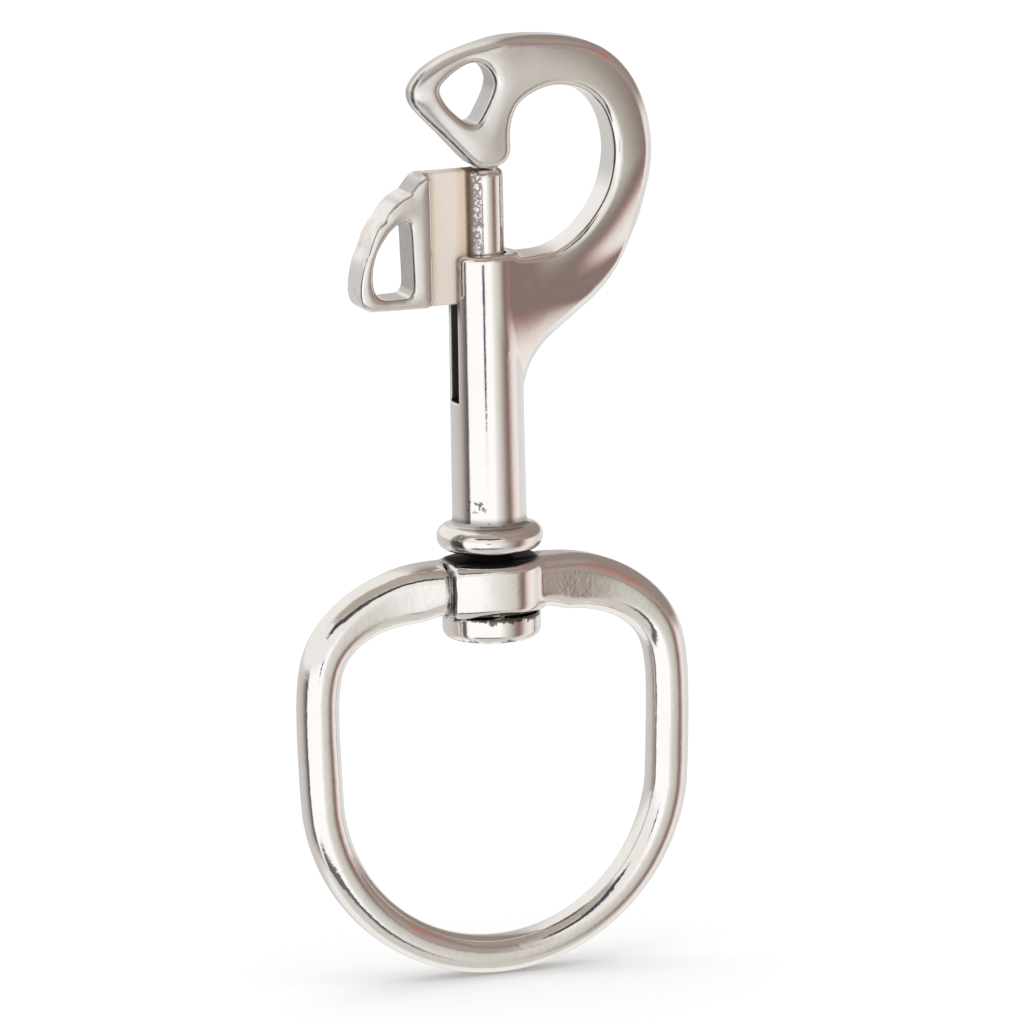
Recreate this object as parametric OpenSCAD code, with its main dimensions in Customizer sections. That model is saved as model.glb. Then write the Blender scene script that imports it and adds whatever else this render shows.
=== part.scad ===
// Swivel-eye bolt snap: a spring bolt closes a cast hook, and a large ring turns on a riveted pin.
// Z runs up the barrel, X across the hook's flat side, Y through its thickness.
// The origin is the ring's bearing point: the lowest point of its opening, where a strap pulls.

/* [Body] */
// Height of the barrel above the lower face of its flange
barrel_h = 38; // [37:0.5:38.5]
// Barrel diameter at its open end
barrel_top_d = 9.1; // [8.6:0.1:9.4]
// Barrel diameter at the flange
barrel_base_d = 9.5; // [9:0.1:10]
// Largest diameter of the rounded flange
flange_d = 13.7; // [12.5:0.1:14.5]
// Height of the rounded flange, without the fillet above it
flange_h = 3.3; // [2.8:0.1:3.8]
// Thickness of the hook plate
plate_t = 6; // [5:0.1:7]
// Width of the slot that the thumb lever runs in
slot_w = 2.9; // [2.8:0.1:3.2]
// Height of the slot's closed end above the flange's lower face
slot_base = 19.2; // [18.8:0.1:19.2]

/* [Bolt] */
// Diameter of the sliding bolt
bolt_d = 5.2; // [5:0.1:5.6]
// How far the thumb lever pulls the bolt down
travel = 12.4; // [11:0.1:12.4]
// Thickness of the lever's web, which runs in the slot
web_t = 2.5; // [2.2:0.1:2.6]
// Thickness of the lever's thumb pad
pad_t = 5.8; // [5:0.1:6.4]

/* [Spring] */
// Wire diameter of the coil spring
wire_d = 0.55; // [0.45:0.05:0.55]
// Outside diameter of the coil
coil_d = 4.9; // [4.6:0.1:5]
// Number of turns
turns = 10; // [8:1:10]

/* [Swivel] */
// Diameter of the swivel pin's shank
pin_d = 6; // [5.6:0.1:6.2]
// Depth of the shank inside the barrel
pin_grip = 8; // [7:0.5:8]
// Diameter of the pin's head
head_d = 12.5; // [12:0.1:13]
// Height of the pin's head
head_h = 3.4; // [2.6:0.1:3.8]
// Open gap between the flange and the ring's boss
swivel_gap = 1.3; // [0.8:0.1:1.6]

/* [Ring] */
// Diameter of the ring's boss
boss_d = 11.8; // [11.4:0.1:12.6]
// Height of the ring's boss
boss_h = 6.8; // [6.4:0.1:7]
// Inner radius of the ring's round lower half
bow_r = 21; // [20:0.5:22]
// Thickness of the ring's stock at its lowest point
bow_t = 4.8; // [4.4:0.1:5.2]

/* [Hidden] */

$fn = 96;
running = 0.08;            // radial clearance of a part that slides or turns
past = 1;                  // how far a cut runs past the face that it opens
seat_z = 50.4;             // flange's lower face above the ring's bearing point
curve_steps = 5;           // straight pieces between two points of an outline
bore_r = bolt_d / 2 + running;
bolt_base = 27;            // lower end of the bolt above the flange's lower face
bolt_top = 48.8;           // upper end of the bolt, just under the hook's nose
web_base = slot_base + travel + 0.2;
keyway_x = -1.2;           // inner end of the lever's tongue inside the bolt
boss_top = -swivel_gap;
boss_base = boss_top - boss_h;
head_top = boss_base - running;
ring_sides = 16;           // sides of the ring's stock

// Outlines are [x, z] points above the flange's lower face, joined by smooth curves.
// The hook's edge runs from the barrel round the arch and the nose, then back along the opening.
hook_edge = [
    [4.3, 19.4], [4.6, 21.2], [5.6, 23.6], [8.2, 26.3], [12, 29.2], [15.8, 32.3], [18.8, 36.3],
    [20.9, 41.2], [22.1, 46.2], [22.3, 51], [21.4, 55.8], [19.5, 59.7], [16.4, 62.8], [12.2, 64.6],
    [7.5, 65.3], [3, 65.3], [-1.2, 64.6], [-4.9, 63.5], [-7.8, 61.9], [-9.4, 60.2], [-9.8, 58.9],
    [-9.4, 57.4], [-7.8, 55.5], [-5.6, 53.3], [-3.2, 50.8], [-2.1, 49.7], [-1.2, 49.1], [0.2, 48.9],
    [1.5, 49.1], [2.6, 49.8], [3.1, 51], [3.1, 53.2], [3.5, 55.3], [4.6, 57.1], [7, 58.4],
    [9.8, 58.8], [12.8, 57.9], [15.1, 55.9], [16.4, 53], [16.8, 49.4], [16, 45.4], [14.3, 42.3],
    [12.1, 39.9], [9.6, 38.3], [7.2, 37.6], [4, 37.4]
];
nose_window = [
    [-6, 59.2], [-5, 60.5], [-3.3, 61.7], [-1.5, 62.4], [0.1, 61.8], [1.1, 60.1], [0.8, 58.4],
    [-0.2, 56.4], [-1.2, 54.9], [-2.3, 54.8], [-3.6, 55.7], [-5.1, 57.3]
];

// The thumb pad's upper edge has three grip steps, so its arcs meet at short drops.
pad_scallops = [
    [[-8.5, 48.6], [-9.3, 48], [-10.2, 46.9]],
    [[-10.4, 46.6], [-11.7, 46], [-12.8, 45.1], [-13.6, 44.1]],
    [[-13.8, 43.6], [-14.7, 42.7], [-15.4, 41.5], [-15.9, 40.2]],
    [[-16.1, 39.6], [-16.7, 38.4], [-17.1, 37], [-17.4, 35.3], [-17.4, 33.8], [-17, 32.6], [-16.1, 31.9]]
];
pad_corner = [[-8.8, 31.8], [-8, 32.1], [-7.7, 32.9]];
pad_window = [
    [-10.3, 35.5], [-10.4, 38.6], [-10.5, 41.4], [-10.8, 42.8], [-11.7, 43], [-12.9, 42.3],
    [-13.9, 41.2], [-15, 39.5], [-15.6, 37.5], [-15.7, 35.5], [-15.2, 34], [-14.1, 33.3],
    [-12.5, 33.3], [-11.1, 33.4], [-10.4, 34.1]
];

// Half of the ring's centreline: [x, z, thickness in the ring's plane, depth through it].
ring_arm = [
    [4.4, -4.6, 6.5, 8], [7.4, -4.6, 6.6, 7.4], [10.2, -5, 7.2, 6.8], [13.2, -5.5, 7, 6.2],
    [17, -6.9, 6.5, 5.7], [20.4, -9.3, 6, 5.5], [22.6, -12.5, 5.7, 5.4], [23.5, -16.8, 5.5, 5.3],
    [23.6, -22.6, 5.4, 5.3]
];

// A point between b and c on a smooth curve through a, b, c and d.
function between(a, b, c, d, t) =
    0.5 * (2 * b + (c - a) * t + (2 * a - 5 * b + 4 * c - d) * t ^ 2 + (3 * b - a - 3 * c + d) * t ^ 3);

// A smooth curve through the points of p, open at its ends.
function curve(p) = let (last = len(p) - 1) [
    for (i = [0 : last - 1], k = [0 : curve_steps - 1])
        between(p[max(i - 1, 0)], p[i], p[i + 1], p[min(i + 2, last)], k / curve_steps),
    p[last]
];

// The same, closed into a loop.
function loop(p) = let (n = len(p)) [
    for (i = [0 : n - 1], k = [0 : curve_steps - 1])
        between(p[(i + n - 1) % n], p[i], p[(i + 1) % n], p[(i + 2) % n], k / curve_steps)
];

// Faces of a tube whose rings of points follow each other, closed by an end cap at each end.
function tube_faces(rings, sides) = [
    [for (k = [0 : sides - 1]) k],
    for (i = [0 : rings - 2], k = [0 : sides - 1])
        let (a = i * sides, b = a + sides, next = (k + 1) % sides)
        each [[a + k, b + k, b + next], [a + k, b + next, a + next]],
    [for (k = [sides - 1 : -1 : 0]) (rings - 1) * sides + k]
];

// A flat shape drawn in the X-Z plane, given a thickness through Y.
module slab(thickness) {
    rotate([90, 0, 0]) linear_extrude(thickness, center = true) children();
}

module barrel() {
    flange_r = flange_d / 2;
    barrel_r = barrel_base_d / 2;
    top_r = barrel_top_d / 2;
    rotate_extrude() polygon([
        [0, 0], [flange_r - 0.7, 0], [flange_r - 0.2, 0.4], [flange_r, 1.1], [flange_r, 1.8],
        [flange_r - 0.25, 2.5], [flange_r - 0.8, flange_h - 0.2], [flange_r - 1.5, flange_h + 0.2],
        [barrel_r + 0.15, flange_h + 0.7], [barrel_r, flange_h + 1.4],
        [top_r, barrel_h - 0.7], [top_r - 0.2, barrel_h - 0.2], [top_r - 0.7, barrel_h], [0, barrel_h]
    ]);
}

module hook_plate() {
    slab(plate_t) difference() {
        polygon(concat(curve(hook_edge), [[0, hook_edge[len(hook_edge) - 1][1]], [0, hook_edge[0][1]]]));
        polygon(loop(nose_window));
    }
}

module hook_body() {
    color("silver") translate([0, 0, seat_z]) difference() {
        union() {
            barrel();
            hook_plate();
        }
        translate([0, 0, pin_grip]) cylinder(h = barrel_h, r = bore_r);
        translate([0, 0, -past]) cylinder(h = pin_grip + past, d = pin_d);
        translate([-barrel_base_d, -slot_w / 2, slot_base])
            cube([barrel_base_d, slot_w, barrel_h - slot_base + past]);
    }
}

module bolt_rod() {
    chamfer = 0.7;
    color("gainsboro") translate([0, 0, seat_z]) difference() {
        translate([0, 0, bolt_base]) union() {
            cylinder(h = bolt_top - bolt_base - chamfer, d = bolt_d);
            translate([0, 0, bolt_top - bolt_base - chamfer])
                cylinder(h = chamfer, d1 = bolt_d, d2 = bolt_d - 2 * chamfer);
        }
        translate([-bolt_d, -web_t / 2, web_base]) cube([bolt_d + keyway_x, web_t, bolt_top]);
    }
}

module thumb_pad() {
    scallops = [for (arc = pad_scallops) each curve(arc)];
    slab(pad_t) difference() {
        polygon(concat(scallops, curve(pad_corner), [[-7.7, bolt_top - 0.7], [-8, bolt_top - 0.2]]));
        polygon(loop(pad_window));
    }
}

module thumb_lever() {
    web_x = -8.5;
    color("silver") translate([0, 0, seat_z]) union() {
        thumb_pad();
        translate([web_x, -web_t / 2, web_base]) cube([keyway_x - web_x, web_t, bolt_top - web_base]);
    }
}

module bolt_spring() {
    per_turn = 16;
    sides = 8;
    coil_r = (coil_d - wire_d) / 2;
    low = pin_grip + wire_d / 2;
    rise = bolt_base - pin_grip - wire_d;
    rings = turns * per_turn + 1;
    points = [
        for (i = [0 : rings - 1], k = [0 : sides - 1])
            let (a = 360 * i / per_turn, b = 360 * k / sides, r = coil_r + wire_d / 2 * cos(b))
            [r * cos(a), r * sin(a), low + rise * i / (rings - 1) + wire_d / 2 * sin(b)]
    ];
    color("dimgray") translate([0, 0, seat_z]) polyhedron(points, tube_faces(rings, sides));
}

module swivel_pin() {
    edge = 0.9;
    color("gainsboro") translate([0, 0, seat_z]) {
        translate([0, 0, head_top]) cylinder(h = pin_grip - head_top, d = pin_d);
        translate([0, 0, head_top - head_h]) rotate_extrude() {
            square([head_d / 2 - edge, head_h]);
            translate([0, edge]) square([head_d / 2, head_h - edge]);
            translate([head_d / 2 - edge, edge]) circle(edge, $fn = 48);
        }
    }
}

// The ring's stock, from inside one side of the boss to inside the other.
module ring_bow() {
    arm = curve(ring_arm);
    centre_z = bow_r - seat_z;
    centre_r = bow_r + bow_t / 2;
    arc = [for (a = [-6 : -6 : -174]) [
        centre_r * cos(a), centre_z + centre_r * sin(a),
        bow_t + 0.5 * abs(cos(a)) ^ 3, 5 + 0.2 * abs(cos(a))
    ]];
    mirrored = [for (i = [len(arm) - 1 : -1 : 0]) [-arm[i][0], arm[i][1], arm[i][2], arm[i][3]]];
    path = concat(arm, arc, mirrored);
    last = len(path) - 1;
    points = [
        for (i = [0 : last], k = [0 : ring_sides - 1])
            let (
                along = path[min(i + 1, last)] - path[max(i - 1, 0)],
                out = [along[1], -along[0]] / norm([along[0], along[1]]),
                a = 360 * k / ring_sides,
                side = path[i][2] / 2 * cos(a)
            )
            [path[i][0] + out[0] * side, path[i][3] / 2 * sin(a), path[i][1] + out[1] * side]
    ];
    polyhedron(points, tube_faces(len(path), ring_sides));
}

module swivel_ring() {
    color("silver") translate([0, 0, seat_z]) difference() {
        union() {
            ring_bow();
            translate([0, 0, boss_base]) cylinder(h = boss_h, d = boss_d);
        }
        translate([0, 0, boss_base - past]) cylinder(h = boss_h + 2 * past, r = pin_d / 2 + running);
    }
}

hook_body();
bolt_rod();
thumb_lever();
bolt_spring();
swivel_pin();
swivel_ring();
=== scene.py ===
"""Looks of the swivel-eye bolt snap: cast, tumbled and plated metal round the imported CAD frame.

The CAD plates are plain extrusions. Here their outlines are cut from the frame and become distance
fields, so that edges are rounded, faces are crowned and the arm flows into the barrel as in a casting.
Shapes are worked out in millimetres; meshes are in metres, in the frame's own axes.
"""

import functools
import math

import bmesh
import bpy
import numpy as np
from mathutils import Matrix, Vector


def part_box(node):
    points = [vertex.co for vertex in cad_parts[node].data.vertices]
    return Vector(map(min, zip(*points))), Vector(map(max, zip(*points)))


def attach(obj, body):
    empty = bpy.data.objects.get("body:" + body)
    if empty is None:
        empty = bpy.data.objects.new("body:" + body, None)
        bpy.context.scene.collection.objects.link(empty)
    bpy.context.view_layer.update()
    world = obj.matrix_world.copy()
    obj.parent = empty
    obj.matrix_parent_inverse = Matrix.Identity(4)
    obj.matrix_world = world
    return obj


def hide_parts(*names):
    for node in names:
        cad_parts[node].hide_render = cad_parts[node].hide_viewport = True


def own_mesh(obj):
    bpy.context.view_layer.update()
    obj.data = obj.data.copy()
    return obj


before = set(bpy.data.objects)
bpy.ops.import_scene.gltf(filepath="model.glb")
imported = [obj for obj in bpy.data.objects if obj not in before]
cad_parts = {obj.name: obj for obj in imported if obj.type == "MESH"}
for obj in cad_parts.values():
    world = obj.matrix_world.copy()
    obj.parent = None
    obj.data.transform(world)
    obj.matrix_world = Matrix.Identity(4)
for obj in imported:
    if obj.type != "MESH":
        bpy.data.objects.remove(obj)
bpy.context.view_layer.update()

MM = 0.001


def box_mm(node):
    """Lowest and highest corner of a CAD node, in millimetres."""
    low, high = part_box(node)
    return np.array(low) / MM, np.array(high) / MM


# --- Driving sizes, in millimetres -------------------------------------------------------------

HOOK_LOW, HOOK_HIGH = box_mm("hook_body")
ROD_LOW, ROD_HIGH = box_mm("bolt_rod")
LEVER_LOW, LEVER_HIGH = box_mm("thumb_lever")
RING_LOW, RING_HIGH = box_mm("swivel_ring")
PIN_LOW, PIN_HIGH = box_mm("swivel_pin")
SPRING_LOW, SPRING_HIGH = box_mm("bolt_spring")

SEAT = HOOK_LOW[2]  # lower face of the flange
BARREL_H = 38.0
BARREL_TOP = SEAT + BARREL_H
BARREL_TOP_R = 4.55
BARREL_TAPER = 0.2  # growth of the radius from the top to the seat
FLANGE_R = 6.75
FLANGE_H = 3.2
SLOT_HALF = 1.45
SLOT_BASE = SEAT + 19.2
PLATE_T = 6.0
EYE = (8.2, SEAT + 48.4)  # middle of the hook's opening
ROD_R = (ROD_HIGH[0] - ROD_LOW[0]) / 2
BORE_R = ROD_R + 0.1
BORE_BASE = SEAT + 8  # the bolt's bore above this height, the pin's below it
PIN_R = 3.0
WEB_HALF = 1.25
PAD_EDGE_X = -7.7  # inner edge of the thumb pad
BOSS_R = (RING_HIGH[1] - RING_LOW[1]) / 2
BOSS_TOP = SEAT - 1.3
BOSS_BASE = BOSS_TOP - 6.8
BOSS_MIDDLE = (BOSS_TOP + BOSS_BASE) / 2
BOSS_HALF = (BOSS_TOP - BOSS_BASE) / 2
GROOVE_X = 6.6  # the ragged groove at the steep side of the boss


# --- Small tools on numbers --------------------------------------------------------------------


def ease(value, start, end):
    """0 before start, 1 after end, and smooth between them."""
    t = np.clip((value - start) / (end - start), 0, 1)
    return t * t * (3 - 2 * t)


def mix(a, b, share):
    return a + (b - a) * share


def join(a, b, blend):
    """The union of two distance fields with a fillet of about that size between them."""
    h = np.clip(blend - np.abs(a - b), 0, None) / blend
    return np.minimum(a, b) - h * h * blend / 4


def cut(a, b, blend):
    """Field a without field b, with the new edge rounded by about that size."""
    return -join(-a, b, blend)


def rounded(side, end, radius):
    """The field inside both a side wall and an end face, with the edge between them rounded."""
    q = side + radius
    p = end + radius
    return np.minimum(np.maximum(q, p), 0) + np.hypot(np.maximum(q, 0), np.maximum(p, 0)) - radius


# --- Outlines cut from the frame ---------------------------------------------------------------


def section(node, axis, place):
    """The closed outlines where the plane axis = place (mm) cuts a CAD node, as arrays of points in mm."""
    bm = bmesh.new()
    bm.from_mesh(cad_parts[node].data)
    bmesh.ops.remove_doubles(bm, verts=bm.verts, dist=1e-6)
    normal = [0.0, 0.0, 0.0]
    normal[axis] = 1.0
    point = [v * place * MM for v in normal]
    geometry = bm.verts[:] + bm.edges[:] + bm.faces[:]
    made = bmesh.ops.bisect_plane(
        bm, geom=geometry, plane_co=point, plane_no=normal, clear_inner=True, clear_outer=True, dist=1e-7
    )
    edges = [e for e in made["geom_cut"] if isinstance(e, bmesh.types.BMEdge)]
    ways = {}
    for e in edges:
        for v in e.verts:
            ways.setdefault(v, []).append(e)
    loops, used = [], set()
    for first in edges:
        if first in used:
            continue
        used.add(first)
        start, v = first.verts
        points = [start.co.copy(), v.co.copy()]
        while v != start:
            step = next((e for e in ways[v] if e not in used), None)
            if step is None:
                break
            used.add(step)
            v = step.other_vert(v)
            points.append(v.co.copy())
        loops.append(np.array(points[:-1]) / MM)
    bm.free()
    keep = [i for i in range(3) if i != axis]
    return [loop[:, keep] for loop in loops if len(loop) > 2]


def straightened(loop):
    """A loop without points that lie on the straight line between their neighbours, or on top of one."""
    gap = np.linalg.norm(loop - np.roll(loop, 1, 0), axis=1)
    loop = loop[gap > 1e-3]
    before, after = loop - np.roll(loop, 1, 0), np.roll(loop, -1, 0) - loop
    turn = np.abs(before[:, 0] * after[:, 1] - before[:, 1] * after[:, 0])
    size = np.linalg.norm(before, axis=1) * np.linalg.norm(after, axis=1)
    return loop[turn > size * 2e-3]


def softened(loop):
    """Chaikin's corner cutting: each corner gives way to two points a quarter along its sides."""
    following = np.roll(loop, -1, 0)
    return np.stack([mix(loop, following, 0.25), mix(loop, following, 0.75)], 1).reshape(-1, 2)


def soft_outlines(node, place):
    """The outlines where the plane y = place (mm) cuts a CAD node, with their corners cut."""
    return [softened(straightened(loop)) for loop in section(node, 1, place)]


class Flat:
    """Signed distance to closed outlines in a plane, negative inside, kept on a fine grid."""

    def __init__(self, loops, step=0.15, blur=0.3, margin=4.0):
        points = np.concatenate(loops)
        self.low = points.min(0) - margin
        self.step = step
        count = np.ceil((points.max(0) + margin - self.low) / step).astype(int) + 1
        u = self.low[0] + step * np.arange(count[0])[:, None]
        v = self.low[1] + step * np.arange(count[1])[None, :]
        nearest = np.full(count, 1e9)
        inside = np.zeros(count, bool)
        for loop in loops:
            for (au, av), (bu, bv) in zip(loop, np.roll(loop, -1, 0)):
                du, dv = bu - au, bv - av
                t = np.clip(((u - au) * du + (v - av) * dv) / (du * du + dv * dv), 0, 1)
                nearest = np.minimum(nearest, (u - au - t * du) ** 2 + (v - av - t * dv) ** 2)
                if av != bv:
                    crosses = ((av > v) != (bv > v)) & (u < au + (v - av) * du / dv)
                    inside ^= crosses
        self.grid = np.where(inside, -1, 1) * np.sqrt(nearest)
        reach = int(3 * blur / step)
        if reach:
            weights = np.exp(-0.5 * (np.arange(-reach, reach + 1) * step / blur) ** 2)
            weights /= weights.sum()
            for axis in (0, 1):
                padded = np.pad(self.grid, [(reach, reach) if a == axis else (0, 0) for a in (0, 1)], "edge")
                size = self.grid.shape[axis]
                self.grid = sum(
                    w * np.take(padded, np.arange(k, k + size), axis) for k, w in enumerate(weights)
                )

    def at(self, u, v):
        """The distance at points, read with a cubic B-spline so that its slope has no steps."""
        u, v = np.broadcast_arrays(u, v)
        a, b = (u - self.low[0]) / self.step, (v - self.low[1]) / self.step
        i = np.clip(np.floor(a).astype(int), 1, self.grid.shape[0] - 3)
        j = np.clip(np.floor(b).astype(int), 1, self.grid.shape[1] - 3)
        a, b = np.clip(a - i, 0, 1), np.clip(b - j, 0, 1)

        def weights(t):
            return (
                (1 - t) ** 3 / 6,
                (3 * t**3 - 6 * t**2 + 4) / 6,
                (-3 * t**3 + 3 * t**2 + 3 * t + 1) / 6,
                t**3 / 6,
            )

        rows, columns = weights(a), weights(b)
        return sum(
            rows[m] * columns[n] * self.grid[i + m - 1, j + n - 1] for m in range(4) for n in range(4)
        )


# --- Meshes ------------------------------------------------------------------------------------


def slope(field, p, reach=0.02):
    """The field's value and gradient at points, from four samples round each."""
    corners = np.array([[1, -1, -1], [-1, -1, 1], [-1, 1, -1], [1, 1, 1]], float)
    samples = [field(*(p + reach * c).T) for c in corners]
    gradient = sum(s[:, None] * c for s, c in zip(samples, corners)) / (4 * reach)
    return sum(samples) / 4, gradient


def net(field, low, high, step):
    """Points, quads and normals of a field's zero surface: one point in each grid cell that it crosses."""
    axes = [np.arange(low[i] - 2 * step, high[i] + 2.5 * step, step) for i in range(3)]
    values = field(axes[0][:, None, None], axes[1][None, :, None], axes[2][None, None, :])
    shape = np.array(values.shape)
    cells = np.zeros((values.size, 4))
    quads = []
    flat = np.arange(values.size).reshape(shape)
    for axis in range(3):
        first = [slice(None)] * 3
        second = [slice(None)] * 3
        first[axis], second[axis] = slice(None, -1), slice(1, None)
        a, b = values[tuple(first)], values[tuple(second)]
        at = np.argwhere((a < 0) != (b < 0))
        at = at[np.all((at > 0) & (at < shape - 1), axis=1)]
        va, vb = a[tuple(at.T)], b[tuple(at.T)]
        place = at.astype(float)
        place[:, axis] += va / (va - vb)
        one, two = [i for i in range(3) if i != axis]
        ring = []
        for shift_one, shift_two in ((0, 0), (-1, 0), (-1, -1), (0, -1)):
            cell = at.copy()
            cell[:, one] += shift_one
            cell[:, two] += shift_two
            index = flat[tuple(cell.T)]
            ring.append(index)
            for k in range(3):
                cells[:, k] += np.bincount(index, place[:, k], values.size)
            cells[:, 3] += np.bincount(index, minlength=values.size)
        ring = np.stack(ring, 1)
        leaves = (va < 0) != (axis == 1)
        ring[~leaves] = ring[~leaves][:, ::-1]
        quads.append(ring)
    used = cells[:, 3] > 0
    number = np.cumsum(used) - 1
    points = cells[used, :3] / cells[used, 3:] * step + np.array([a[0] for a in axes])
    for _ in range(3):
        value, gradient = slope(field, points)
        size = np.maximum((gradient**2).sum(1), 0.05)
        move = -value[:, None] * gradient / size[:, None]
        points += np.clip(move, -step / 2, step / 2)
    normals = slope(field, points)[1]
    lengths = np.maximum(np.linalg.norm(normals, axis=1), 1e-9)
    return points, number[np.concatenate(quads)], normals / lengths[:, None]


def make_piece(name, points, faces, material, body, node, slot, normals=None):
    """A smooth mesh piece in metres that stands for a CAD node and rides on its body."""
    mesh = bpy.data.meshes.new(name)
    if normals is not None:
        faces = faces.tolist()
    mesh.from_pydata(np.asarray(points) * MM, [], faces)
    mesh.shade_smooth()
    if normals is not None:
        mesh.normals_split_custom_set_from_vertices(normals.tolist())
    mesh.materials.append(material)
    piece = bpy.data.objects.new(name, mesh)
    bpy.context.scene.collection.objects.link(piece)
    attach(piece, body)
    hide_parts(node)
    return piece


def lathe(profile, sides=128):
    """Points and faces of [radius, height] points turned about Z; a radius of 0 closes an end."""
    points, rows = [], []
    for radius, height in profile:
        if radius == 0:
            rows.append([len(points)])
            points.append((0.0, 0.0, height))
            continue
        rows.append([len(points) + k for k in range(sides)])
        for k in range(sides):
            a = 2 * math.pi * k / sides
            points.append((radius * math.cos(a), radius * math.sin(a), height))
    faces = []
    for low, high in zip(rows, rows[1:]):
        for k in range(sides):
            n = (k + 1) % sides
            if len(low) == 1:
                faces.append((low[0], high[n], high[k]))
            elif len(high) == 1:
                faces.append((low[k], low[n], high[0]))
            else:
                faces.append((low[k], low[n], high[n], high[k]))
    return points, faces


def arc(centre_r, centre_z, radius, start, end, count=8):
    """Profile points on a quarter or part circle, from one angle to another in degrees."""
    angles = np.radians(np.linspace(start, end, count + 1))
    return [(centre_r + radius * math.cos(a), centre_z + radius * math.sin(a)) for a in angles]


# --- Shapes ------------------------------------------------------------------------------------


def hook_shape():
    """The hook body: crowned arch and windowed nose, the barrel and flange, less the bore and the slot."""
    loops = soft_outlines("hook_body", PLATE_T / 2 - 0.1)
    outline = Flat(loops)
    outer = Flat([max(loops, key=len)])  # without the window

    def field(x, y, z):
        flat, edge = outline.at(x, z), outer.at(x, z)
        from_eye = np.hypot(x - EYE[0], (z - EYE[1]) * 0.82)
        arch = ease(x, -1, 6)
        outward = np.clip(from_eye - 9.6, 0, 4)
        # The nose thins to its upper edge, and its faces are crowned all round.
        nose_edge = ease((z - SEAT - 57) * 0.5 - x, -3, 8)
        keen = 0.27 * (edge + 4.6 + np.hypot(edge + 4.6, 1.2)) / 2 * nose_edge * (1 - arch)
        domed = 0.28 * (1 - np.clip(-flat / 3.2, 0, 1)) ** 2
        # The lower arm thins towards its outer edge, which runs up from the barrel at 44 degrees.
        below = 0.69 * (x - 5.6) - 0.72 * (z - SEAT - 23.6)
        thinned = 2.6 * np.clip(1 + below / 8.5, 0, 1) ** 2
        half = PLATE_T / 2 - mix(domed, 0.03 * outward**2, arch) - thinned - keen
        # Beside the barrel the plate's face leaves the barrel as a tangent, at this angle.
        low = z < BARREL_TOP + 2
        leaving = np.radians(mix(12, 27, ease(BARREL_TOP - z, 6, 14)))
        barrel_r = BARREL_TOP_R + BARREL_TAPER * (BARREL_TOP - z) / BARREL_H
        tangent = (barrel_r - 0.02 - np.sin(leaving) * x) / np.cos(leaving)
        tangent = np.where(low, np.maximum(tangent, 0), 0)
        half = -join(-half, -tangent, 0.6)
        # It sinks into the barrel further down, and left of the line of contact it stays just inside.
        half = half - 1.2 * ease(SEAT + 27 - z, 0, 9)
        inside = barrel_r * np.sin(leaving) - x
        round_half = np.sqrt(np.maximum(barrel_r**2 - x * x, 0)) - 0.02 - 0.4 * ease(inside, 0, 3)
        half = np.where(low & (inside > 0), np.minimum(half, round_half), half)
        radius = mix(mix(0.9, 1.1, nose_edge), mix(1.1, 1.5, ease(from_eye, 10, 13)), arch)
        radius = np.where(low, mix(0.7, radius, ease(x, 3, 8)), radius)
        radius = np.minimum(radius, np.maximum(half, 0.9) * 0.95)
        plate = rounded(flat, np.abs(y) - half, radius)
        plate = np.maximum(plate, np.where(low, -1 - x, -9))
        plate = np.maximum(plate, SEAT + 18 - z)
        r = np.hypot(x, y)
        barrel = rounded(r - barrel_r, z - BARREL_TOP, 0.7)
        flange = rounded(r - FLANGE_R, np.abs(z - SEAT - FLANGE_H / 2) - FLANGE_H / 2, FLANGE_H / 2 - 0.1)
        barrel = np.maximum(join(barrel, flange, 0.8), SEAT - z)
        body = join(plate, barrel, 0.15)
        bore = np.maximum(r - BORE_R, np.maximum(BORE_BASE - z, z - BARREL_TOP - 6))
        pin_bore = np.maximum(r - PIN_R, z - BORE_BASE)
        body = np.maximum(cut(body, bore, 0.5), -pin_bore)
        slot = np.maximum(np.abs(y) - SLOT_HALF, np.maximum(x, z - BARREL_TOP - 4))
        slot = np.maximum(slot, SLOT_BASE - z)
        return cut(body, slot, 0.35)

    return net(field, HOOK_LOW, HOOK_HIGH, 0.3)


def ring_shape():
    """The swivel ring: rounded flat-sided stock whose arms run into a round boss, less the boss's bore."""
    outline = Flat(soft_outlines("swivel_ring", 0.02), step=0.2, blur=0.35)

    def field(x, y, z):
        core = np.maximum(np.abs(x) - BOSS_R - 0.6, np.abs(z - BOSS_MIDDLE) - BOSS_HALF)
        flat = np.minimum(outline.at(x, z), core)
        out = np.abs(x)
        low = ease(-z, -20, 0)
        # The arms deepen towards the boss, with a soft step where that begins.
        arms = ease(z, 20, 36)
        flare = arms * (14 - out + np.hypot(14 - out, 3)) / 2
        crown = 0.35 * arms * (1 - np.clip(-flat / 3, 0, 1)) ** 2
        half_depth = mix(2.7, 2.55, low) + 0.15 * flare - crown
        radius = mix(mix(2.4, 2.25, low), 2.1, arms * ease(-out, -19, -9))
        # A ragged groove runs down each face at the steep side of the boss.
        along = np.where(y < 0, x, -x)
        groove = arms * 0.45 * np.exp(-(((along + GROOVE_X + 0.06 * np.sin(1.9 * z)) / 0.34) ** 2))
        stock = rounded(flat, np.abs(y) - half_depth + groove, radius)
        # The boss swells out of each face, steeply on one side and gently on the other.
        from_peak = along - 1.2
        swell = np.abs(y) - BOSS_R + np.where(from_peak < 0, 0.019, 0.12) * from_peak**2 + groove
        swell = np.maximum(rounded(swell, -7.9 - from_peak, 0.45), from_peak - 5)
        boss = rounded(swell, np.abs(z - BOSS_MIDDLE) - BOSS_HALF, 1.3)
        bore = np.maximum(np.hypot(x, y) - PIN_R - 0.1, np.abs(z - BOSS_MIDDLE) - BOSS_HALF - 1)
        return cut(join(stock, boss, 0.5), bore, 0.3)

    return net(field, RING_LOW, RING_HIGH, 0.35)


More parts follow.
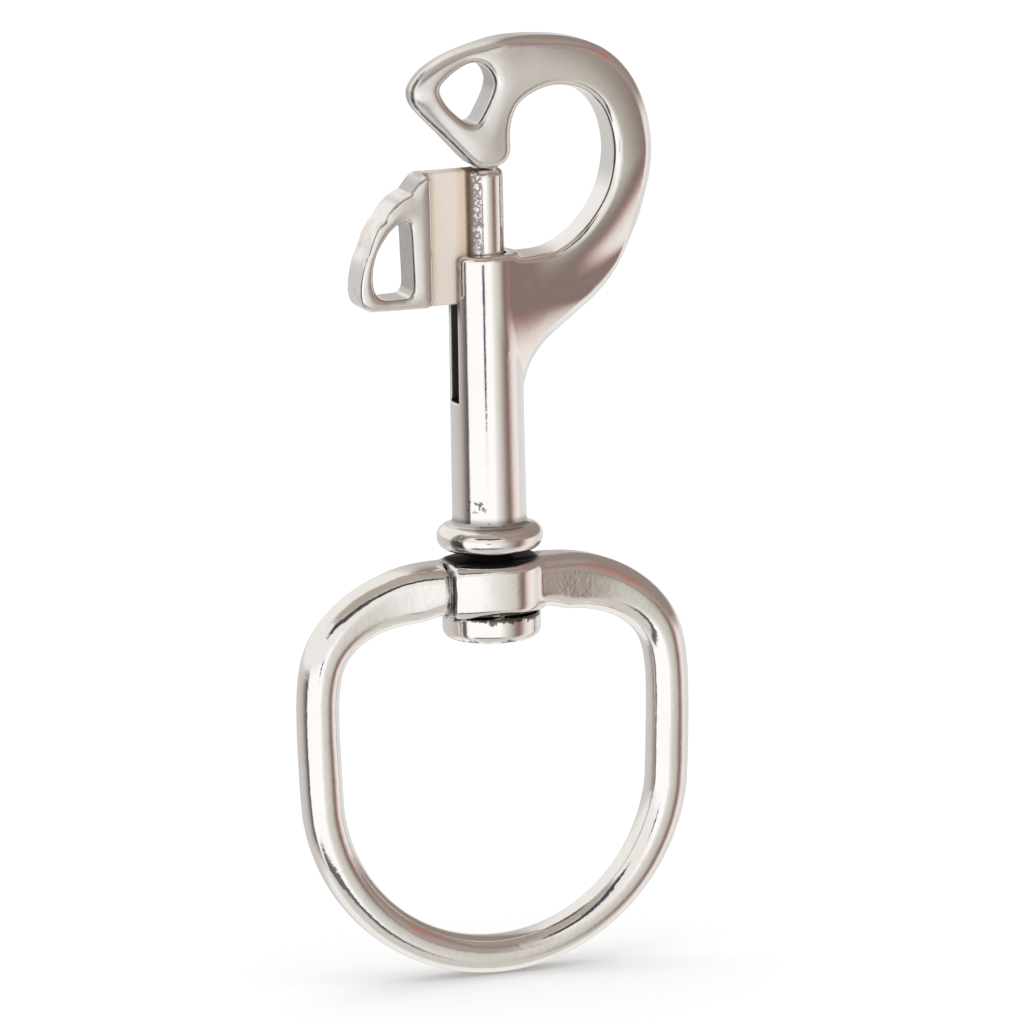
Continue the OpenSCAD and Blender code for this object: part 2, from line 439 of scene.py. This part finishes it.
def lever_shape():
    """The thumb lever: a bevelled pad with a window and grip steps, on the thin web that runs in the slot."""
    outline = Flat(soft_outlines("thumb_lever", 2.6), step=0.1, blur=0.1)
    half = (LEVER_HIGH[1] - LEVER_LOW[1]) / 2
    half_height, middle = (LEVER_HIGH[2] - LEVER_LOW[2]) / 2, (LEVER_HIGH[2] + LEVER_LOW[2]) / 2
    web_start, web_end = PAD_EDGE_X - 0.8, LEVER_HIGH[0]

    def field(x, y, z):
        flat = outline.at(x, z)
        crown = 0.2 * (1 - np.clip(-flat / 1.6, 0, 1)) ** 2
        pad = rounded(flat, np.abs(y) - half + crown, 0.45)
        along = np.abs(x - (web_start + web_end) / 2) - (web_end - web_start) / 2
        tall = np.abs(z - middle) - half_height
        web = rounded(np.maximum(along, tall), np.abs(y) - WEB_HALF, 0.2)
        return join(pad, web, 0.5)

    return net(field, LEVER_LOW, LEVER_HIGH, 0.18)


def rod_shape():
    """The sliding bolt, with a rounded nose end and a small chamfer at its foot."""
    low, high, nose, foot = ROD_LOW[2], ROD_HIGH[2], 1.0, 0.3
    profile = [(0, low), (ROD_R - foot, low), (ROD_R, low + foot), (ROD_R, low + 1), (ROD_R, high - nose - 1)]
    profile += arc(ROD_R - nose, high - nose, nose, 0, 90, 12) + [(0, high)]
    return lathe(profile)


def pin_shape():
    """The swivel pin: a slightly domed head with a rounded rim, and the shank pressed into the barrel."""
    head_r, low, top = PIN_HIGH[0], PIN_LOW[2], PIN_HIGH[2]
    head_top = BOSS_BASE - 0.08
    rim, lip, dome = 1.2, 0.25, 0.2
    profile = [(0, low), (head_r * 0.3, low + dome * 0.09), (head_r * 0.6, low + dome * 0.36)]
    profile += arc(head_r - rim, low + dome + rim, rim, -84, 0, 12)
    profile += [(head_r, head_top - 1)] + arc(head_r - lip, head_top - lip, lip, 0, 90, 6)
    profile += [(PIN_R, head_top), (PIN_R, top - 0.4), (PIN_R - 0.4, top), (0, top)]
    return lathe(profile)


def spring_shape():
    """The coil spring: open turns between a closed turn at each end."""
    wire_r, turns, per_turn, sides = 0.275, 10, 32, 10
    coil_r = SPRING_HIGH[0] - wire_r
    low, high = SPRING_LOW[2] + wire_r, SPRING_HIGH[2] - wire_r
    closed = 2 * wire_r * 1.05  # rise of a closed turn
    rings = turns * per_turn + 1
    points, faces = [], []
    for i in range(rings):
        turn = i / per_turn
        middle = np.clip((turn - 1) / (turns - 2), 0, 1)
        ends = np.clip(turn, 0, 1) + np.clip(turn - turns + 1, 0, 1)
        height = low + closed * ends + (high - low - 2 * closed) * middle
        a = 2 * math.pi * turn
        for k in range(sides):
            b = 2 * math.pi * k / sides
            r = coil_r + wire_r * math.cos(b)
            points.append((r * math.cos(a), r * math.sin(a), height + wire_r * math.sin(b)))
    for i in range(rings - 1):
        for k in range(sides):
            n = (k + 1) % sides
            p, q = i * sides, (i + 1) * sides
            faces.append((p + k, q + k, q + n, p + n))
    faces.append(tuple(range(sides)))
    faces.append(tuple((rings - 1) * sides + k for k in reversed(range(sides))))
    return points, faces


# --- Materials ---------------------------------------------------------------------------------


class Paint:
    """Short ways to write a node tree."""

    def __init__(self, tree):
        self.tree = tree
        tree.nodes.clear()

    def add(self, kind, inputs=None, **settings):
        node = self.tree.nodes.new(kind)
        for name, value in settings.items():
            setattr(node, name, value)
        for name, value in (inputs or {}).items():
            self.set(node, name, value)
        return node

    def set(self, node, name, value):
        if isinstance(value, bpy.types.NodeSocket):
            self.tree.links.new(value, node.inputs[name])
        else:
            node.inputs[name].default_value = value

    def maths(self, operation, a, b=0.0):
        return self.add("ShaderNodeMath", {0: a, 1: b}, operation=operation).outputs[0]

    def times(self, *values):
        return functools.reduce(lambda a, b: self.maths("MULTIPLY", a, b), values)

    def plus(self, *values):
        return functools.reduce(lambda a, b: self.maths("ADD", a, b), values)

    def most(self, *values):
        return functools.reduce(lambda a, b: self.maths("MAXIMUM", a, b), values)

    def between(self, value, start, end, low=0.0, high=1.0):
        """low before start, high after end, smooth between them. start may be the larger one."""
        inputs = {"Value": value, "From Min": start, "From Max": end, "To Min": low, "To Max": high}
        return self.add("ShaderNodeMapRange", inputs, interpolation_type="SMOOTHSTEP").outputs[0]

    def band(self, value, start, full, fade, end):
        """1 from full to fade, 0 before start and after end."""
        return self.times(self.between(value, start, full), self.between(value, end, fade))

    def noise(self, place, scale, detail=2.0, rough=0.5):
        inputs = {"Vector": place, "Scale": scale, "Detail": detail, "Roughness": rough}
        return self.add("ShaderNodeTexNoise", inputs).outputs["Fac"]

    def blend(self, share, a, b):
        """A mix of two colours."""
        node = self.add("ShaderNodeMix", data_type="RGBA")
        for index, value in ((0, share), (6, a), (7, b)):
            self.set(node, index, value)
        return node.outputs[2]

    def mix(self, share, a, b):
        """A mix of two numbers."""
        node = self.add("ShaderNodeMix", data_type="FLOAT")
        for index, value in ((0, share), (2, a), (3, b)):
            self.set(node, index, value)
        return node.outputs[0]

    def stretched(self, vector, factors):
        return self.add("ShaderNodeVectorMath", {0: vector, 1: factors}, operation="MULTIPLY").outputs[0]

    def split(self, vector):
        return self.add("ShaderNodeSeparateXYZ", {0: vector}).outputs


def rgb(red, green, blue):
    return (red, green, blue, 1.0)


NICKEL = rgb(0.84, 0.815, 0.79)
NICKEL_WARM = rgb(0.80, 0.75, 0.705)
TUMBLED = rgb(0.7, 0.67, 0.64)
# Near black for painted shade in recesses, creases and gaps, and for painted dark reflections.
PAINTED_DARK = rgb(0.035, 0.028, 0.024)


class Metal(Paint):
    """A plated metal: places in millimetres, a drifting base colour, and layers added by each material."""

    def __init__(self, name):
        self.material = bpy.data.materials.new(name)
        self.material.use_nodes = True
        super().__init__(self.material.node_tree)
        where = self.add("ShaderNodeTexCoord").outputs
        self.place = self.stretched(where["Object"], (1000.0, 1000.0, 1000.0))
        self.x, self.y, self.z = self.split(self.place)
        self.nx, ny, _ = self.split(where["Normal"])
        self.depth = self.maths("ABSOLUTE", self.y)
        self.facing = self.maths("ABSOLUTE", ny)  # 1 on the flat faces, 0 on the rims
        self.radius = self.maths("SQRT", self.plus(self.times(self.x, self.x), self.times(self.y, self.y)))

    def finish(self, colour, rough, height, metallic=1.0, reach=0.006):
        """Closes the tree. height is in millimetres times reach."""
        bump = self.add("ShaderNodeBump", {"Strength": 1.0, "Distance": reach * MM, "Height": height})
        inputs = {"Base Color": colour, "Metallic": metallic, "Roughness": rough, "Normal": bump.outputs[0]}
        surface = self.add("ShaderNodeBsdfPrincipled", inputs)
        self.add("ShaderNodeOutputMaterial", {"Surface": surface.outputs[0]})
        return self.material

    def painted_edge_line(self):
        """A thin painted dark reflection line where a rounded edge turns from the front or back to the
        lever's side.
        """
        line = self.band(self.facing, 0.34, 0.44, 0.58, 0.68)
        # Noise breaks the painted line into pieces.
        patchy = self.between(self.noise(self.place, 1.4, 3.0), 0.3, 0.5, 0.35, 0.8)
        return self.times(line, patchy, self.between(self.nx, -0.45, -0.65))

    def mottled(self, strength=1.0):
        """Plating whose warmth drifts over a few millimetres."""
        drift = self.between(self.noise(self.place, 0.22, 3.0), 0.42, 0.72, 0.0, 0.35 * strength)
        return self.blend(drift, NICKEL, NICKEL_WARM)

    def waves(self, satin, ripple=1.0):
        """Height: slow casting waves, shorter ripples, and fine tumbling grain where satin is 1."""
        slow = self.times(self.noise(self.place, 0.33, 2.0), 2.6)
        middle = self.times(self.noise(self.place, 1.5, 3.0), 0.9 * ripple)
        grain = self.times(self.noise(self.place, 9.0, 3.0, 0.6), self.mix(satin, 0.03, 0.1))
        return self.plus(slow, middle, grain)


def hook_metal():
    """Tumbled satin on the flat faces, bright on rims and barrel; painted shade inside the slot, the bore and
    other recesses, and painted dark reflections on edges and a few specks.
    """
    m = Metal("hook_plating")
    above = m.between(m.z, BARREL_TOP - 0.6, BARREL_TOP + 0.6)
    plate = m.most(m.between(m.radius, 4.9, 5.6), above)
    satin = m.times(m.between(m.facing, 0.9, 0.985), plate)
    blotch = m.noise(m.place, 0.9, 4.0, 0.6)
    rough = m.mix(satin, m.mix(blotch, 0.05, 0.12), m.mix(blotch, 0.14, 0.26))
    nose = m.times(above, m.between(m.x, 5.0, 0.0))
    rough = m.mix(m.times(nose, 0.9), rough, 0.3)

    below_top = m.between(m.z, BARREL_TOP + 0.1, BARREL_TOP - 0.2)
    # Painted shade on the slot's walls, inside the bore and under the flange's rim; these places are also
    # rougher.
    in_slot = m.times(
        m.between(m.depth, SLOT_HALF + 0.06, SLOT_HALF - 0.02),
        m.between(m.x, -0.5, -1.5),
        m.between(m.radius, 4.62, 4.45),
        below_top,
    )
    in_bore = m.times(m.between(m.radius, BORE_R + 0.3, BORE_R + 0.1), below_top)
    under = m.times(m.between(m.z, SEAT + 0.25, SEAT + 0.1), m.between(m.radius, 6.5, 6.1))
    dark = m.most(in_slot, in_bore, under)

    # Painted shade in the crease above the flange.
    crease = m.band(m.z, SEAT + 3.1, SEAT + 3.5, SEAT + 3.9, SEAT + 4.7)
    crease = m.times(crease, m.between(m.radius, 5.5, 5.1))
    # Ragged painted shade along the slot's lips on the barrel.
    lips = m.times(
        m.between(m.depth, SLOT_HALF + 0.9, SLOT_HALF + 0.4),
        m.between(m.x, -3.3, -3.8),
        m.between(blotch, 0.3, 0.6, 0.55, 0.85),
        m.maths("SUBTRACT", m.between(m.z, BARREL_TOP - 9, BARREL_TOP - 6), above),
    )
    # Painted shade on the nose window's walls.
    window_wall = m.times(
        above, m.between(m.x, 3.0, 1.0), m.between(m.facing, 0.25, 0.05), m.between(m.nx, -0.2, -0.6)
    )
    # A small cluster of painted dark specks low on the barrel's front, standing for reflections; colour only,
    # no relief.
    pits_and_painted_specks = m.times(
        m.band(m.z, SEAT + 5.1, SEAT + 5.6, SEAT + 6.5, SEAT + 7.0),
        m.band(m.x, -4.1, -3.7, -2.3, -1.7),
        m.between(m.y, 0.0, -1.0),
        m.between(m.noise(m.place, 1.7, 3.0), 0.5, 0.55),
    )
    # A painted dark reflection line along the lever-side edges of the plate.
    edge = m.times(m.painted_edge_line(), plate)
    # All the painted shade and painted dark reflections above, blended towards near black.
    painted_shade_and_reflection = m.most(dark, lips, edge, m.times(crease, 0.5), m.times(window_wall, 0.4), m.times(pits_and_painted_specks, 0.8))
    colour = m.blend(m.times(satin, 0.7), m.mottled(), TUMBLED)
    return m.finish(m.blend(painted_shade_and_reflection, colour, PAINTED_DARK), m.mix(dark, rough, 0.65), m.waves(satin))


def ring_metal():
    """Bright polished casting, a little duller on its flat inner walls, rough on one arm by the boss, with
    painted shadow on the boss's top and painted shade in the grooves by the boss.
    """
    m = Metal("ring_plating")
    blotch = m.noise(m.place, 0.7, 4.0, 0.6)
    inner = m.maths("SUBTRACT", 1.0, m.between(m.facing, 0.1, 0.5))
    rough = m.mix(inner, m.mix(blotch, 0.05, 0.13), 0.2)
    # Painted shadow on the boss's top, under the flange; it is also rougher there.
    top = m.times(m.between(m.radius, 6.6, 5.6), m.between(m.z, BOSS_TOP - 0.5, BOSS_TOP + 0.1))
    side = m.times(m.x, m.maths("SIGN", m.y))
    # Ragged painted shade in the groove at the steep side of the boss.
    seam = m.times(
        m.between(m.maths("ABSOLUTE", m.plus(side, -GROOVE_X)), 0.4, 0.1),
        m.between(m.z, BOSS_BASE - 1, BOSS_BASE),
        m.between(blotch, 0.3, 0.5, 0.5, 0.85),
    )
    colour = m.blend(m.most(top, seam), m.mottled(1.2), PAINTED_DARK)
    pitted = m.times(
        m.between(m.maths("ABSOLUTE", m.x), 17.0, 10.5),
        m.between(m.z, BOSS_BASE - 2, BOSS_BASE),
        m.between(side, -6.0, -8.8),
        m.facing,
    )
    pits_and_painted_specks = m.times(m.noise(m.place, 1.1, 4.0, 0.65), pitted, 5.0)
    return m.finish(colour, m.mix(top, rough, 0.6), m.plus(m.waves(0.1, 1.5), pits_and_painted_specks), reach=0.012)


def lever_metal():
    """Satin bevelled pad with a raw beige web, stained where it meets the bolt."""
    m = Metal("lever_plating")
    satin = m.between(m.facing, 0.9, 0.985)
    blotch = m.noise(m.place, 1.1, 4.0, 0.6)
    speckle = m.noise(m.place, 3.5, 5.0, 0.7)

    beige = m.blend(m.between(speckle, 0.35, 0.7), rgb(0.97, 0.85, 0.74), rgb(0.95, 0.9, 0.88))
    tan = m.plus(m.between(m.x, -4.4, -3.2), m.between(m.x, -6.6, -7.4))
    tan = m.times(tan, m.between(speckle, 0.2, 0.6, 0.7, 1.0))
    beige = m.blend(tan, beige, rgb(0.88, 0.74, 0.56))
    joint = m.times(m.between(m.x, -3.0, -2.5), m.between(speckle, 0.2, 0.5, 0.7, 1.0))
    beige = m.blend(joint, beige, rgb(0.2, 0.12, 0.07))

    pad = m.blend(m.times(satin, 0.7), m.mottled(), TUMBLED)
    # Painted shade on the window's walls and a painted dark reflection line along the lever-side edges.
    window_wall = m.times(m.between(m.nx, -0.4, -0.8), m.between(m.x, PAD_EDGE_X - 5, PAD_EDGE_X - 4.4))
    pad = m.blend(m.most(m.times(window_wall, 0.45), m.painted_edge_line()), pad, PAINTED_DARK)
    patch = m.times(m.between(m.noise(m.place, 0.45, 1.0), 0.54, 0.6), m.between(m.facing, 0.4, 0.2))
    pad = m.blend(m.times(patch, 0.3), pad, rgb(0.62, 0.52, 0.38))

    web = m.between(m.x, PAD_EDGE_X - 0.1, PAD_EDGE_X + 0.15)
    web = m.times(web, m.between(m.depth, WEB_HALF + 0.3, WEB_HALF + 0.05))
    rough = m.mix(satin, m.mix(blotch, 0.08, 0.16), m.mix(blotch, 0.2, 0.32))
    rough = m.mix(web, rough, m.mix(speckle, 0.42, 0.6))
    height = m.plus(m.waves(satin), m.times(speckle, web, 1.6))
    return m.finish(m.blend(web, pad, beige), rough, height, m.mix(web, 1.0, 0.55))


def rod_metal():
    """Ground and polished steel with fine lengthwise rub marks, a ragged painted dark reflection on its side
    by the web's joint and a painted tan reflection on its other side.
    """
    m = Metal("rod_plating")
    rub = m.noise(m.stretched(m.place, (1.0, 1.0, 0.12)), 5.0, 4.0, 0.6)
    # A ragged painted dark reflection, with dark specks, on the rod's side towards the web; it is also
    # rougher there.
    ragged = m.plus(m.x, m.times(m.noise(m.place, 1.6, 4.0, 0.7), 1.6))
    painted_dark_side = m.times(m.between(ragged, -0.6, -1.3), m.between(m.depth, 2.4, 2.0))
    specks = m.times(m.between(ragged, 0.0, -0.4), m.between(m.noise(m.place, 2.2, 4.0, 0.7), 0.42, 0.52))
    painted_dark_side = m.most(painted_dark_side, specks)
    colour = m.blend(m.times(painted_dark_side, 0.8), m.mottled(1.5), rgb(0.16, 0.12, 0.1))
    # A painted tan reflection on the rod's side towards the arch.
    tan = m.times(m.between(ragged, 2.1, 2.9), m.between(rub, 0.3, 0.6, 0.5, 0.9))
    colour = m.blend(tan, colour, rgb(0.48, 0.38, 0.29))
    rough = m.mix(painted_dark_side, m.mix(rub, 0.05, 0.14), 0.35)
    return m.finish(colour, rough, m.plus(m.waves(0.0), m.times(rub, 0.25)))


def pin_metal():
    """Polished pin head with faint turning marks round its axis, ragged painted shade at its top under the
    boss and a ragged painted dark reflection at its foot.
    """
    m = Metal("pin_plating")
    rings = m.maths("SINE", m.times(m.radius, 24.0))
    blotch = m.noise(m.place, 1.0, 4.0, 0.6)
    shank = m.between(m.radius, PIN_R + 0.3, PIN_R + 0.1)
    # Painted shade on the shank in the gap between the boss and the flange; the shank is also rougher there.
    shank_shade = m.times(shank, m.between(m.z, BOSS_TOP - 3, BOSS_TOP - 2))
    ragged = m.plus(m.z, m.times(m.noise(m.place, 0.75, 4.0, 0.7), 3.2))
    # Ragged painted shade at the head's top, under the boss, and a ragged painted dark reflection at its
    # foot.
    top = m.between(ragged, BOSS_BASE + 1.1, BOSS_BASE + 1.3)
    foot = m.between(ragged, PIN_LOW[2] + 2.0, PIN_LOW[2] + 1.8)
    painted_shade_and_reflection = m.times(m.most(top, foot), 0.85)
    colour = m.blend(m.most(shank_shade, painted_shade_and_reflection), m.mottled(), PAINTED_DARK)
    rough = m.mix(shank_shade, m.mix(blotch, 0.05, 0.13), 0.7)
    return m.finish(colour, rough, m.plus(m.waves(0.1), m.times(rings, 0.02)))


def spring_metal():
    """Drawn wire: darker steel with lengthwise die marks and a little grease."""
    m = Metal("spring_wire")
    grease = m.between(m.noise(m.place, 1.6, 3.0), 0.45, 0.65)
    colour = m.blend(grease, rgb(0.46, 0.44, 0.42), rgb(0.16, 0.13, 0.1))
    return m.finish(colour, m.mix(grease, 0.25, 0.45), m.waves(0.6))


def floor_paint():
    """Plain pale studio floor with a faint paper grain."""
    m = Metal("studio_floor")
    grain = m.noise(m.place, 0.8, 2.0)
    return m.finish(m.blend(grain, rgb(0.9, 0.9, 0.9), rgb(0.93, 0.93, 0.93)), 0.9, grain, 0.0, 0.02)


# --- Studio ------------------------------------------------------------------------------------

# The surroundings that the metal reflects, by bearing: 0 is in front of the hook's flat side, and
# positive bearings are towards the arch. Each stop is a bearing in degrees and a colour.
SURROUNDINGS = [
    (-180, rgb(0.70, 0.69, 0.68)), (-152, rgb(0.69, 0.685, 0.68)), (-133, rgb(0.69, 0.65, 0.63)),
    (-118, rgb(0.62, 0.58, 0.55)), (-105, rgb(0.48, 0.42, 0.41)), (-95, rgb(0.26, 0.22, 0.23)),
    (-83, rgb(0.12, 0.1, 0.13)), (-78, rgb(1.2, 1.2, 1.2)), (0, rgb(1.2, 1.2, 1.2)),
    (9, rgb(0.95, 0.93, 0.92)), (16, rgb(0.82, 0.8, 0.77)), (24, rgb(0.66, 0.64, 0.58)),
    (34, rgb(0.43, 0.38, 0.34)), (43, rgb(0.27, 0.21, 0.19)), (49, rgb(0.3, 0.19, 0.18)),
    (56, rgb(0.52, 0.37, 0.35)), (66, rgb(0.88, 0.76, 0.74)), (80, rgb(1.04, 0.98, 0.96)),
    (98, rgb(0.83, 0.82, 0.81)), (125, rgb(0.82, 0.86, 0.86)), (180, rgb(0.70, 0.69, 0.68)),
]


def surround():
    """A white studio with soft boxes, a warm grey side and thin dark gaps, seen in the metal only."""
    world = bpy.data.worlds.new("studio")
    world.use_nodes = True
    bpy.context.scene.world = world
    w = Paint(world.node_tree)
    way = w.add("ShaderNodeTexCoord").outputs["Generated"]
    x, y, z = w.split(way)
    bearing = w.maths("DEGREES", w.maths("ARCTAN2", x, w.times(y, -1.0)))
    rise = w.maths("DEGREES", w.maths("ARCSINE", z))
    ramp = w.add("ShaderNodeValToRGB", {"Fac": w.maths("DIVIDE", w.plus(bearing, 180.0), 360.0)})
    stops = ramp.color_ramp.elements
    while len(stops) < len(SURROUNDINGS):
        stops.new(0.5)
    for stop, (degrees, colour) in zip(stops, SURROUNDINGS):
        stop.position = (degrees + 180) / 360
        stop.color = colour

    # Higher up it is white all round the lever's side, and dim brown on the arch's side.
    white, brown = rgb(1.0, 0.98, 0.96), rgb(0.34, 0.28, 0.25)
    high = w.blend(w.band(bearing, 4.0, 24.0, 150.0, 179.0), white, brown)
    middle = w.times(w.between(bearing, 80.0, 40.0), w.band(rise, 0.0, 10.0, 26.0, 40.0))
    high = w.blend(w.times(middle, 0.15), high, white)
    lifted = w.maths("SUBTRACT", rise, w.between(bearing, 110.0, 150.0, 0.0, 5.0))
    colour = w.blend(w.between(lifted, -3.0, 9.0), ramp.outputs[0], high)

    # A ragged red patch on the arch's side.
    ragged = w.noise(way, 7.0, 5.0, 0.65)
    red = w.times(w.band(bearing, 40.0, 48.0, 66.0, 76.0), w.band(rise, 14.0, 20.0, 38.0, 46.0))
    red = w.times(red, w.between(ragged, 0.47, 0.56), 0.8)
    colour = w.blend(red, colour, rgb(0.6, 0.15, 0.1))

    # A ragged dark gap above the soft box in front, and brown over it.
    ragged_rise = w.plus(rise, w.times(w.maths("SUBTRACT", ragged, 0.5), 26.0))
    gap = w.times(w.band(ragged_rise, 30.0, 32.0, 44.0, 46.0), w.band(bearing, -62.0, -52.0, 4.0, 16.0))
    colour = w.blend(w.times(gap, 0.95), colour, rgb(0.02, 0.02, 0.045))
    over = w.times(w.band(bearing, -110.0, -80.0, 80.0, 110.0), w.between(ragged_rise, 43.0, 50.0))
    colour = w.blend(w.times(over, 0.85), colour, rgb(0.42, 0.36, 0.31))

    # White below, dimmer in front, with a dark gap at its upper edge.
    below = w.blend(w.band(bearing, -100.0, -60.0, 60.0, 90.0), rgb(1.0, 0.99, 0.97), rgb(0.72, 0.69, 0.66))
    colour = w.blend(w.between(rise, -28.0, -48.0), colour, below)
    gap = w.times(w.band(ragged_rise, -46.0, -44.0, -33.0, -31.0), w.band(bearing, -70.0, -62.0, 0.0, 20.0))
    colour = w.blend(w.times(gap, 0.85), colour, rgb(0.03, 0.02, 0.04))

    # The camera and the floor see plain white.
    seen = w.add("ShaderNodeLightPath").outputs
    plain = w.most(seen["Is Camera Ray"], seen["Is Diffuse Ray"])
    colour = w.blend(plain, colour, rgb(1.0, 1.0, 1.0))
    background = w.add("ShaderNodeBackground", {"Color": colour, "Strength": 1.0})
    w.add("ShaderNodeOutputWorld", {"Surface": background.outputs[0]})


def studio():
    """The pale floor under the ring, and one large soft light overhead that only the floor sees."""
    bpy.ops.mesh.primitive_grid_add(x_subdivisions=8, y_subdivisions=8, size=6.0)
    floor = bpy.context.object
    floor.name = "studio_floor"
    floor.location = (0, 0, RING_LOW[2] * MM)
    floor.data.materials.append(floor_paint())
    floor.visible_glossy = False
    light = bpy.data.lights.new("overhead_softbox", "AREA")
    light.shape, light.size, light.energy = "DISK", 3.0, 12.0
    lamp = bpy.data.objects.new("overhead_softbox", light)
    lamp.location = (0, 0, 2.0)
    lamp.visible_glossy = False
    bpy.context.scene.collection.objects.link(lamp)


def dark_strip():
    """A narrow, ragged dark card beside the soft box: it draws the thin line down the barrel."""
    bearing, distance = math.radians(-23.0), 0.3
    low, high, half, count = 0.012, 0.047, 0.03, 41
    across = Vector((math.cos(bearing), math.sin(bearing), 0))
    foot = Vector((math.sin(bearing), -math.cos(bearing), 0)) * distance
    bm = bmesh.new()
    rows = []
    for k in range(count):
        height = Vector((0, 0, low + (high - low) * k / (count - 1)))
        wide = half * (0.3 + 0.7 * abs(math.sin(2.4 * k)) * (0.35 + 0.65 * k / count))
        shift = 0.005 * math.sin(1.7 * k)
        rows.append([bm.verts.new(foot + across * (side * wide + shift) + height) for side in (-1, 1)])
    for one, two in zip(rows, rows[1:]):
        bm.faces.new((one[0], one[1], two[1], two[0]))
    mesh = bpy.data.meshes.new("dark_strip")
    bm.to_mesh(mesh)
    bm.free()
    m = Metal("dark_card")
    mesh.materials.append(m.finish(rgb(0.04, 0.04, 0.16), 0.9, m.noise(m.place, 0.5), 0.0))
    card = bpy.data.objects.new("dark_strip", mesh)
    bpy.context.scene.collection.objects.link(card)
    card.visible_camera = card.visible_diffuse = card.visible_shadow = False


def camera():
    """A long lens at the photograph's angle: from the lever's side, a little above, rolled slightly."""
    turn, rise, roll = math.radians(20.0), math.radians(11.5), math.radians(1.2)
    distance, pixels_per_mm, sensor, pixels = 1.4, 7.9, 36.0, 1024
    across = Vector((math.cos(turn), -math.sin(turn), 0))
    upward = Vector((math.sin(turn) * math.sin(rise), math.cos(turn) * math.sin(rise), math.cos(rise)))
    right = across * math.cos(roll) - upward * math.sin(roll)
    top = across * math.sin(roll) + upward * math.cos(roll)
    back = right.cross(top)
    data = bpy.data.cameras.new("camera")
    data.sensor_width = sensor
    data.lens = pixels_per_mm * sensor / pixels * distance / MM
    data.clip_start, data.clip_end = 0.1, 20.0
    cam = bpy.data.objects.new("camera", data)
    aim = Vector((0, 0, SEAT * MM)) + right * 2.77 * MM + top * 4.46 * MM
    place = Matrix((right, top, back)).transposed().to_4x4()
    place.translation = aim + back * distance
    cam.matrix_world = place
    bpy.context.scene.collection.objects.link(cam)
    bpy.context.scene.camera = cam


# --- Assembly ----------------------------------------------------------------------------------

camera()
surround()
studio()
dark_strip()
bpy.context.scene.view_settings.view_transform = "Standard"

for build, name, paint, body, node, slot in (
    (hook_shape, "hook_casting", hook_metal, "hook", "hook_body", "hook_casting"),
    (ring_shape, "ring_casting", ring_metal, "ring", "swivel_ring", "ring_casting"),
    (lever_shape, "thumb_lever_casting", lever_metal, "bolt", "thumb_lever", "lever_casting"),
    (rod_shape, "bolt_pin", rod_metal, "bolt", "bolt_rod", "bolt_steel"),
    (pin_shape, "swivel_pin_turned", pin_metal, "hook", "swivel_pin", "pin_steel"),
    (spring_shape, "coil_spring", spring_metal, "hook", "bolt_spring", "spring_wire"),
):
    points, faces, *normals = build()
    piece = make_piece(name, points, faces, paint(), body, node, slot, *normals)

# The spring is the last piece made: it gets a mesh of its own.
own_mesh(piece)
